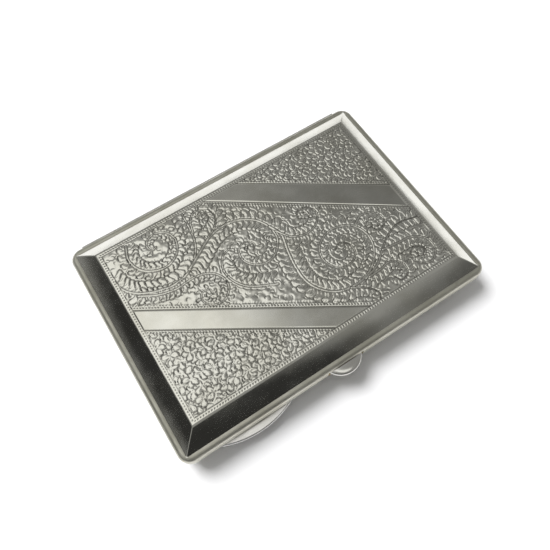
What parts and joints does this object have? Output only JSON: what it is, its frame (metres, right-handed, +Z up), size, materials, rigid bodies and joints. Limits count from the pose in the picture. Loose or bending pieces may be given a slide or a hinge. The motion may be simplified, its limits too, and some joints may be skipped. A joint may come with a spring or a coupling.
{
  "type": "business card case",
  "caption": "Hinged dished pocket case in silver sheet for cards: bevelled lid and base, long back hinge, sprung thumb catch in front, elastic strap inside each half.",
  "frame": {"origin": "centre of the flat under the base that the closed case rests on", "axes": "+X along the hinge, towards the right as seen from the thumb-piece; +Y from the thumb-piece at the front to the hinge at the back; +Z up, out of the lid"},
  "size_m": [0.098, 0.0731, 0.013],
  "materials": {
    "silver": "old polished silver, worn, with tarnish in the engraving",
    "gilt": "worn gilding on silver",
    "steel": "brushed spring steel",
    "elastic": "woven elastic, cream"
  },
  "bodies": {
    "base": {"base_shell": "silver", "base_frame": "gilt", "base_joint_bearer": "gilt", "base_knuckle_1": "silver", "base_knuckle_2": "silver", "base_knuckle_3": "silver", "base_knuckle_4": "silver", "hinge_pin": "steel", "finger_lip": "silver", "base_strap_clips": "gilt", "base_strap": "elastic", "spring_anchor": "steel", "anchor_rivets": "steel"},
    "catch": {"thumb_piece": "silver", "thumb_stem": "steel", "catch_hook": "steel", "catch_spring": "steel", "hook_rivets": "steel"},
    "lid": {"lid_shell": "silver", "lid_frame": "gilt", "lid_joint_bearer": "gilt", "lid_knuckle_1": "silver", "lid_knuckle_2": "silver", "lid_knuckle_3": "silver", "lid_strap_clips": "gilt", "lid_strap": "elastic", "keeper": "gilt"}
  },
  "joints": [
    {"name": "lid_hinge", "type": "hinge", "parent": "base", "child": "lid", "pos_m": [0, 0.03462, 0.0065], "axis": [-1, 0, 0], "range_deg": [0, 178]},
    {"name": "catch_press", "type": "hinge", "parent": "base", "child": "catch", "pos_m": [-0.015, -0.03255, 0.0065], "axis": [0, 0, 1], "range_deg": [0, 2.9], "stiffness_Nm_per_rad": 1, "springref_deg": -1.15}
  ]
}
